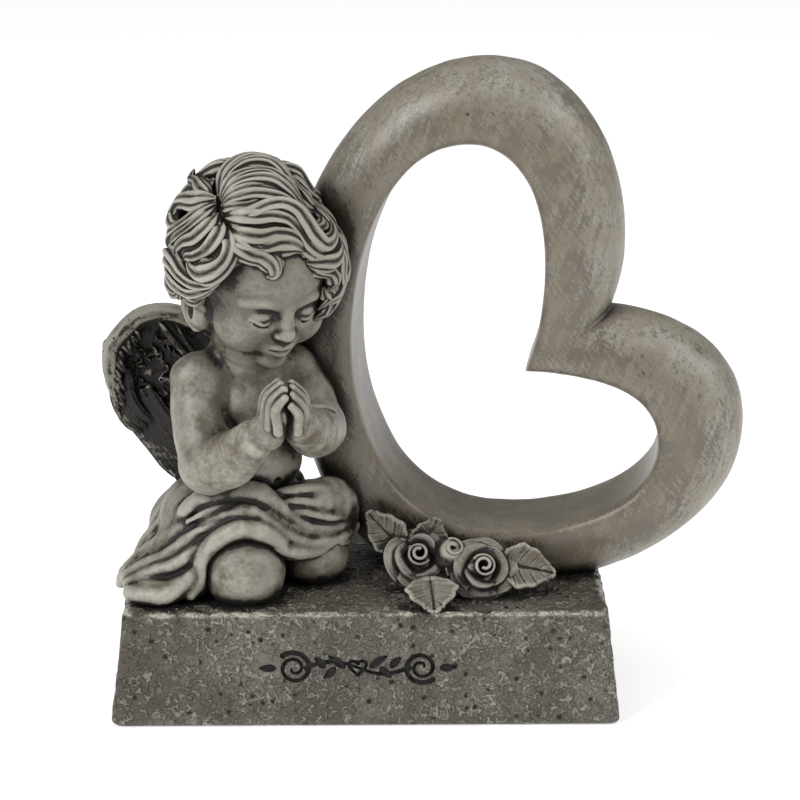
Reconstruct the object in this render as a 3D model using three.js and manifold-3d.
// Cast-resin memorial figurine: a kneeling child angel praying beside an open heart on a rough stone plinth.
// Millimetres, +Z up, front towards -Y. Origin at the centre of the plinth's underside.
import * as THREE from "three";
import { mergeVertices } from "three/addons/utils/BufferGeometryUtils.js";
import Module from "manifold-3d";

const wasm = await Module();
wasm.setup();

// Driving dimensions.
const PLINTH = { bottomWidth: 125, topWidth: 118, bottomDepth: 65, topDepth: 58, height: 28.5, edge: 3 };
const TOP = PLINTH.height;
const GLUE_GAP = 0.3;
const RING = { x: 15, y: 9.5, yaw: THREE.MathUtils.degToRad(-8), thickness: 27, shoulder: 11, crown: 10 };
const BODY_TURN = THREE.MathUtils.degToRad(39);
const PIN = { radius: 1.5, intoPlinth: 12, intoRing: 6 };
const WING_PIN = { radius: 1, length: 8 };
const CURVE_STEPS = 8;

// The way the angel faces, across its shoulders, and straight up.
const FORWARD = new THREE.Vector3(Math.sin(BODY_TURN), -Math.cos(BODY_TURN), 0);
const SIDE = new THREE.Vector3(Math.cos(BODY_TURN), Math.sin(BODY_TURN), 0);
const UP = new THREE.Vector3(0, 0, 1);

const vector = (x, y, z) => new THREE.Vector3(x, y, z);

// Landmarks of the angel.
const RIGHT_WING = {
  root: vector(-34, 9, 0),
  pin: vector(-39.5, 9.6, 77),
  heading: THREE.MathUtils.degToRad(172),
  reach: 33,
};
const LEFT_WING = {
  root: vector(-27, 9, 0),
  pin: vector(-28, 11, 77),
  heading: THREE.MathUtils.degToRad(105),
  reach: 20,
};
const HEAD = vector(-24.5, -6, 109);
const NECK = vector(-27.5, -1, 86);
const CHEST = vector(-29, -1, 75);
const BELLY = vector(-31, -2, 61);
const HIPS = vector(-33, 4, 49);
const RIGHT_ARM = [vector(-41, -8.5, 81.5), vector(-37, -19, 62.5), vector(-26, -28, 74)];
const LEFT_ARM = [vector(-14.5, 6, 81), vector(-9.6, -7, 66), vector(-14.8, -25.5, 75)];
const RIGHT_HAND = [vector(-24.5, -29, 75.5), vector(-20.6, -31.5, 82), vector(-17.6, -33, 89)];
const LEFT_HAND = [vector(-14.8, -27, 76.5), vector(-15.2, -30.5, 83), vector(-16, -32.5, 89)];
const RIGHT_LEG = [vector(-40, 0, 41), vector(-29.7, -16.5, 34.5)];
const LEFT_LEG = [vector(-25, 9, 41), vector(-13.5, -3.5, 35)];
const RIGHT_FOOT = [vector(-45, 3, 33.5), vector(-52, 13, 32.5)];
const LEFT_FOOT = [vector(-31, 14, 33.5), vector(-36, 23, 32.5)];

// A three.js geometry, placed by a matrix, as a solid that can be cut and joined.
function solidOf(geometry, matrix = new THREE.Matrix4()) {
  const bare = geometry.clone().applyMatrix4(matrix);
  bare.deleteAttribute("normal");
  bare.deleteAttribute("uv");
  const merged = mergeVertices(bare, 1e-4);
  const mesh = new wasm.Mesh({
    numProp: 3,
    vertProperties: merged.attributes.position.array,
    triVerts: new Uint32Array(merged.index.array),
  });
  return new wasm.Manifold(mesh);
}

function placedAt(centre, direction = UP, scale = vector(1, 1, 1)) {
  const turn = new THREE.Quaternion().setFromUnitVectors(UP, direction.clone().normalize());
  return new THREE.Matrix4().compose(centre, turn, scale);
}

// An egg: a sphere stretched to three radii, its long axis along direction.
function egg(centre, radii, grow = 0, direction = UP) {
  const scale = vector(radii[0] + grow, radii[1] + grow, radii[2] + grow);
  return solidOf(new THREE.SphereGeometry(1, 12, 8), placedAt(centre, direction, scale));
}

// A rounded cone from a to b, turned on a lathe: half balls at both ends and a tapered shank.
function limb(a, b, radiusA, radiusB) {
  const length = a.distanceTo(b);
  const profile = [];
  for (let i = 0; i <= 4; i++) {
    const angle = (i / 4) * (Math.PI / 2);
    profile.push(new THREE.Vector2(Math.sin(angle) * radiusA, -Math.cos(angle) * radiusA));
  }
  for (let i = 0; i <= 4; i++) {
    const angle = (i / 4) * (Math.PI / 2);
    profile.push(new THREE.Vector2(Math.cos(angle) * radiusB, length + Math.sin(angle) * radiusB));
  }
  profile[0].x = 0;
  profile[profile.length - 1].x = 0;
  const lathe = new THREE.LatheGeometry(profile, 10).rotateX(Math.PI / 2);
  return solidOf(lathe, placedAt(a, b.clone().sub(a)));
}

function chain(points, radii, grow = 0) {
  const links = points.slice(1).map((end, i) => limb(points[i], end, radii[i] + grow, radii[i + 1] + grow));
  return joined(links);
}

const joined = (solids) => solids.reduce((sum, solid) => sum.add(solid));

// A point given from another by distances forward, to the angel's left side and up.
function from(point, forward, side, up) {
  return point.clone().addScaledVector(FORWARD, forward).addScaledVector(SIDE, side).addScaledVector(UP, up);
}

// Plinth: the overlap of a tapered front outline and a tapered side outline, both with eased lower corners.
function taperedOutline(bottom, top, height, edge) {
  const outline = new THREE.Shape();
  const flare = ((bottom - top) / 2 / height) * edge;
  outline.moveTo(-bottom / 2 + edge, 0);
  outline.lineTo(bottom / 2 - edge, 0);
  outline.quadraticCurveTo(bottom / 2, 0, bottom / 2 - flare, edge);
  outline.lineTo(top / 2, height);
  outline.lineTo(-top / 2, height);
  outline.lineTo(-bottom / 2 + flare, edge);
  outline.quadraticCurveTo(-bottom / 2, 0, -bottom / 2 + edge, 0);
  return outline;
}

function plinth(grow) {
  const { bottomWidth, topWidth, bottomDepth, topDepth, height, edge } = PLINTH;
  const wide = taperedOutline(bottomWidth + 2 * grow, topWidth + 2 * grow, height + grow, edge);
  const deep = taperedOutline(bottomDepth + 2 * grow, topDepth + 2 * grow, height + grow, edge);
  const options = { bevelEnabled: false, curveSegments: 4 };
  const front = new THREE.ExtrudeGeometry(wide, { ...options, depth: 2 * bottomDepth });
  front.rotateX(Math.PI / 2).translate(0, bottomDepth, 0);
  const side = new THREE.ExtrudeGeometry(deep, { ...options, depth: 2 * bottomWidth });
  side.rotateX(Math.PI / 2).rotateZ(Math.PI / 2).translate(-bottomWidth, 0, 0);
  return solidOf(front).intersect(solidOf(side));
}

// Open heart, in its own upright plane: across, and up from the plinth's top.
// The two lobes meet in a notch at the upper right.
const HEART_OUTSIDE = {
  notch: [46, 68.5],
  sweeps: [
    [55, 90, 44, 129.6, 15.5, 129.6],
    [-10, 129.6, -34, 100, -34, 66],
    [-34, 30, -24, -6, 12, -6],
    [50, -6, 79.6, 14, 79.6, 40],
    [79.6, 60, 60, 68, 46, 68.5],
  ],
};
const HEART_OPENING = {
  notch: [26, 54],
  sweeps: [
    [34, 75, 32, 110, 12, 110],
    [-6, 110, -17, 85, -17, 60],
    [-17, 32, -4, 12, 18, 12],
    [36, 12, 58.8, 20, 58.8, 36],
    [58.8, 50, 44, 54, 26, 54],
  ],
};

function heartShape({ notch, sweeps }) {
  const shape = new THREE.Shape();
  shape.moveTo(...notch);
  sweeps.forEach((sweep) => shape.bezierCurveTo(...sweep));
  return shape;
}

function inHeartPlane(geometry) {
  return geometry.rotateX(Math.PI / 2).rotateZ(RING.yaw).translate(RING.x, RING.y, TOP);
}

function heartRing(grow) {
  const domed = new THREE.ExtrudeGeometry(heartShape(HEART_OUTSIDE), {
    depth: RING.thickness - 2 * RING.shoulder + 2 * grow,
    bevelThickness: RING.shoulder,
    bevelSize: RING.crown,
    bevelOffset: grow - RING.crown,
    bevelSegments: 3,
    curveSegments: CURVE_STEPS,
  });
  domed.translate(0, 0, -RING.thickness / 2 + RING.shoulder - grow);
  const opening = new THREE.ExtrudeGeometry(heartShape(HEART_OPENING), {
    depth: 2 * RING.thickness,
    bevelEnabled: false,
    curveSegments: CURVE_STEPS,
  });
  opening.translate(0, 0, -RING.thickness);
  return solidOf(inHeartPlane(domed)).subtract(solidOf(inHeartPlane(opening)));
}

// Steel pins set in resin, the heart's upright and the wings' level.
function heartPin(x) {
  return (grow) => {
    const { intoPlinth, intoRing, radius } = PIN;
    const length = intoPlinth + intoRing + 2 * grow;
    const rod = new THREE.CylinderGeometry(radius + grow, radius + grow, length, 12);
    const y = RING.y + (x - RING.x) * Math.tan(RING.yaw);
    return solidOf(rod.rotateX(Math.PI / 2), placedAt(vector(x, y, TOP + (intoRing - intoPlinth) / 2)));
  };
}

function wingPin({ pin, heading }) {
  return (grow) => {
    const { radius, length } = WING_PIN;
    const rod = new THREE.CylinderGeometry(radius + grow, radius + grow, length + 2 * grow, 10);
    return solidOf(rod.rotateX(Math.PI / 2), placedAt(pin, vector(Math.cos(heading), Math.sin(heading), 0)));
  };
}

// Angel.
function torso(grow) {
  return joined([
    egg(HIPS, [13.5, 11.5, 11], grow),
    egg(BELLY, [12.5, 12, 12], grow),
    egg(CHEST, [12.5, 10.5, 11.5], grow),
    limb(from(CHEST, 0, -10, 5), from(CHEST, 0, 10, 5), 7 + grow, 7 + grow),
    limb(from(CHEST, 0, 0, 6), NECK, 9 + grow, 8 + grow),
    limb(NECK, HEAD.clone().lerp(NECK, 0.55), 8 + grow, 7.5 + grow),
  ]);
}

function head(grow) {
  const jaw = from(HEAD, 7, 1, -10);
  const nose = from(HEAD, 16.5, 3, -5);
  return joined([
    egg(HEAD, [16.5, 16.5, 18], grow),
    egg(jaw, [12.5, 12, 11], grow),
    egg(nose, [2.5, 2.5, 2.5], grow),
  ]);
}

// Hair: a full cap over the skull, open over the face, ringed with thick curls.
function hair(grow) {
  const cap = egg(from(HEAD, -2, 0, 5), [21.5, 20.5, 22], grow);
  const faceOpening = egg(from(HEAD, 21, 4, -14), [17, 17, 20]);
  const nape = egg(from(HEAD, -8, 0, -24), [16, 14, 12]);
  // Each curl: how far forward, to the left side and up from the head's centre, and its radius.
  const curls = [
    [6, -20, 4, 5.5],
    [1, -21, -4, 5.5],
    [-4, -18, -11, 5],
    [8, 19, 6, 5.5],
    [3, 20.5, -3, 5],
    [-3, 17, -10, 5],
    [-17, -8, -8, 6],
    [-17, 8, -8, 6],
    [-9, -13, 19, 5],
    [-12, 10, 17, 5],
  ].map(([forward, side, up, radius]) => egg(from(HEAD, forward, side, up), [radius, radius, radius], grow));
  return joined([cap.subtract(faceOpening).subtract(nape), ...curls]);
}

const FORELOCK = [from(HEAD, 15, -3, 15), from(HEAD, 18.5, 3, 10), from(HEAD, 19, 6, 5)];
const forelock = (grow) => chain(FORELOCK, [4, 3.5, 2], grow);
const rightArm = (grow) => chain(RIGHT_ARM, [7, 6.6, 4.8], grow);
const leftArm = (grow) => chain(LEFT_ARM, [7, 6.4, 4.6], grow);
const rightHand = (grow) => chain(RIGHT_HAND, [4.6, 4.4, 2.4], grow);
const leftHand = (grow) => chain(LEFT_HAND, [4.2, 3.8, 2.2], grow);
const rightLeg = (grow) => chain(RIGHT_LEG, [9, 10], grow);
const leftLeg = (grow) => chain(LEFT_LEG, [9, 8.4], grow);
const rightFoot = (grow) => chain(RIGHT_FOOT, [5.5, 4.5], grow);
const leftFoot = (grow) => chain(LEFT_FOOT, [5.5, 4.5], grow);

// Cloth round the hips and over the thighs, and its loose end trailing over the plinth's left edge.
function lapDrape(grow) {
  return joined([
    egg(from(HIPS, 0, 0, 0), [18, 16, 9.5], grow),
    chain([from(HIPS, 0, -12, -4), vector(-33, -13, 43)], [10.5, 8.5], grow),
    chain([from(HIPS, 0, 11, -4), vector(-14, -4, 42), vector(-8, 0, 46)], [10.5, 8, 6], grow),
    egg(from(HIPS, -12, 0, -9), [17, 13, 13], grow),
  ]);
}

const DRAPE_TAIL = [vector(-43, -11, 40), vector(-51, -14, 35), vector(-57, -15, 31)];
const drapeTail = (grow) => chain(DRAPE_TAIL, [8, 8, 5.5], grow);

// Folded wing outline: across from the root, and height.
// The leading edge arches above and the flight feathers run to a low tip.
function wingShape(reach) {
  const shape = new THREE.Shape();
  shape.moveTo(0, 84);
  shape.bezierCurveTo(reach * 0.3, 95, reach * 0.64, 101, reach * 0.85, 90);
  shape.bezierCurveTo(reach * 1.03, 82, reach * 0.99, 72, reach * 0.84, 65);
  shape.bezierCurveTo(reach * 0.72, 60, reach * 0.55, 51, reach * 0.42, 46);
  shape.bezierCurveTo(reach * 0.3, 50, reach * 0.1, 60, 0, 68);
  return shape;
}

// A wing leaves its root across in the given direction from +X, seen from above.
function wing({ root, heading, reach }) {
  return (grow) => {
    const blade = new THREE.ExtrudeGeometry(wingShape(reach), {
      depth: 2.6 + 2 * grow,
      bevelThickness: 1.2,
      bevelSize: 1.2,
      bevelOffset: grow - 1.2,
      bevelSegments: 2,
      curveSegments: 7,
    });
    blade.translate(0, 0, -1.3 - grow).rotateX(Math.PI / 2);
    return solidOf(blade.rotateZ(heading).translate(root.x, root.y, 0));
  };
}

// Flowers in front of the heart: two open roses, a bud and four leaves.
const ROSE_FACING = vector(0.05, -0.8, 0.6);
const LEFT_ROSE = vector(13, -13, 37);
const RIGHT_ROSE = vector(28.5, -17, 36);
const ROSE_BUD = vector(21.3, -9, 38.5);
const UPPER_LEAF = {
  base: vector(9.5, -8.5, 38),
  tip: vector(0.5, -5, 46),
  width: 8.5,
  facing: vector(-0.3, -0.9, 0.3),
};
const FRONT_LEAF = {
  base: vector(15.5, -19.5, 36),
  tip: vector(16.5, -28, 29.3),
  width: 12,
  facing: vector(0, -0.5, 0.86),
};
const SIDE_LEAF = {
  base: vector(34, -15, 36),
  tip: vector(46.5, -14, 33),
  width: 11,
  facing: vector(0.1, -0.75, 0.65),
};
const REAR_LEAF = {
  base: vector(16.5, -9, 37),
  tip: vector(19.5, -5.5, 43.5),
  width: 7,
  facing: vector(0.1, -0.85, 0.5),
};

function rose(centre, radius, facing = ROSE_FACING) {
  const profile = [
    [0, -0.55],
    [0.7, -0.5],
    [1, -0.05],
    [0.95, 0.2],
    [0.72, 0.22],
    [0.7, 0.42],
    [0.42, 0.45],
    [0.35, 0.6],
    [0, 0.6],
  ].map(([across, up]) => new THREE.Vector2(across, up));
  return (grow) => {
    const size = radius + grow;
    const lathe = new THREE.LatheGeometry(profile, 14).rotateX(Math.PI / 2);
    return solidOf(lathe, placedAt(centre, facing, vector(size, size, size)));
  };
}

// A pointed oval from its base at the origin to a tip at the length, along +X.
function leafShape(length, width) {
  const shape = new THREE.Shape();
  shape.moveTo(0, 0);
  shape.bezierCurveTo(length * 0.2, width * 0.6, length * 0.7, width * 0.6, length, 0);
  shape.bezierCurveTo(length * 0.7, -width * 0.6, length * 0.2, -width * 0.6, 0, 0);
  return shape;
}

function leaf({ base, tip, width, facing }) {
  return (grow) => {
    const along = tip.clone().sub(base);
    const length = along.length();
    along.normalize();
    const out = facing.clone().addScaledVector(along, -facing.dot(along)).normalize();
    const across = out.clone().cross(along);
    const blade = new THREE.ExtrudeGeometry(leafShape(length, width), {
      depth: 0.8 + 2 * grow,
      bevelThickness: 0.5,
      bevelSize: 0.5,
      bevelOffset: grow - 0.5,
      bevelSegments: 1,
      curveSegments: 6,
    });
    blade.translate(0, 0, -0.4 - grow);
    const turn = new THREE.Matrix4().makeBasis(along, across, out).setPosition(base);
    return solidOf(blade, turn);
  };
}

const STONE = { color: 0x8c867a, roughness: 0.72, metalness: 0 };
const SKIN = { color: 0xa8a296, roughness: 0.62, metalness: 0 };
const STEEL = { color: 0xb0b3b8, roughness: 0.35, metalness: 1 };

// Each piece: its name, where it is held, its finish and its shape. A piece is cut to fit all those above it.
const PIECES = [
  ["heart_pin_left", vector(13, RING.y, TOP), STEEL, heartPin(13)],
  ["heart_pin_right", vector(35, RING.y, TOP), STEEL, heartPin(35)],
  ["wing_pin_right", RIGHT_WING.pin, STEEL, wingPin(RIGHT_WING)],
  ["wing_pin_left", LEFT_WING.pin, STEEL, wingPin(LEFT_WING)],
  ["plinth", vector(0, 0, 0), STONE, plinth],
  ["heart_ring", vector(RING.x, RING.y, TOP), STONE, heartRing],
  ["torso", CHEST, SKIN, torso],
  ["right_leg", RIGHT_LEG[1], SKIN, rightLeg],
  ["left_leg", LEFT_LEG[1], SKIN, leftLeg],
  ["right_foot", RIGHT_FOOT[0], SKIN, rightFoot],
  ["left_foot", LEFT_FOOT[0], SKIN, leftFoot],
  ["right_arm", RIGHT_ARM[0], SKIN, rightArm],
  ["left_arm", LEFT_ARM[0], SKIN, leftArm],
  ["right_hand", RIGHT_HAND[0], SKIN, rightHand],
  ["left_hand", LEFT_HAND[0], SKIN, leftHand],
  ["head", HEAD, SKIN, head],
  ["hair", HEAD, SKIN, hair],
  ["forelock", FORELOCK[1], SKIN, forelock],
  ["right_wing", RIGHT_WING.root, SKIN, wing(RIGHT_WING)],
  ["left_wing", LEFT_WING.root, SKIN, wing(LEFT_WING)],
  ["lap_drape", HIPS, SKIN, lapDrape],
  ["drape_tail", DRAPE_TAIL[1], SKIN, drapeTail],
  ["left_rose", LEFT_ROSE, SKIN, rose(LEFT_ROSE, 7.6)],
  ["right_rose", RIGHT_ROSE, SKIN, rose(RIGHT_ROSE, 8.2)],
  ["rose_bud", ROSE_BUD, SKIN, rose(ROSE_BUD, 4.6, vector(0.1, -0.5, 0.86))],
  ["upper_leaf", UPPER_LEAF.base, SKIN, leaf(UPPER_LEAF)],
  ["front_leaf", FRONT_LEAF.base, SKIN, leaf(FRONT_LEAF)],
  ["side_leaf", SIDE_LEAF.base, SKIN, leaf(SIDE_LEAF)],
  ["rear_leaf", REAR_LEAF.base, SKIN, leaf(REAR_LEAF)],
];

function boxesMeet(a, b) {
  const [one, two] = [a.boundingBox(), b.boundingBox()];
  return [0, 1, 2].every((axis) => one.min[axis] <= two.max[axis] && two.min[axis] <= one.max[axis]);
}

// The largest body left after a piece is cut to its neighbours with the glue gap between.
function seated(make, neighbours) {
  const whole = make(0);
  const near = neighbours.filter((solid) => boxesMeet(whole, solid));
  const cut = near.reduce((rest, solid) => rest.subtract(solid), whole);
  return cut.decompose().reduce((best, body) => (body.volume() > best.volume() ? body : best));
}

function meshOf(name, solid, anchor, finish) {
  const { numProp, vertProperties, triVerts } = solid.getMesh();
  const position = new Float32Array((vertProperties.length / numProp) * 3);
  for (let i = 0; i < position.length / 3; i++) {
    position.set(vertProperties.subarray(i * numProp, i * numProp + 3), i * 3);
  }
  const geometry = new THREE.BufferGeometry();
  geometry.setAttribute("position", new THREE.BufferAttribute(position, 3));
  geometry.setIndex(new THREE.BufferAttribute(new Uint32Array(triVerts), 1));
  geometry.translate(-anchor.x, -anchor.y, -anchor.z);
  geometry.computeVertexNormals();
  const mesh = new THREE.Mesh(geometry, new THREE.MeshStandardMaterial(finish));
  mesh.name = name;
  mesh.position.copy(anchor);
  return mesh;
}

const figurine = new THREE.Group();
const grownPieces = [];
for (const [name, anchor, finish, make] of PIECES) {
  figurine.add(meshOf(name, seated(make, grownPieces), anchor, finish));
  grownPieces.push(make(GLUE_GAP));
}

export default figurine;
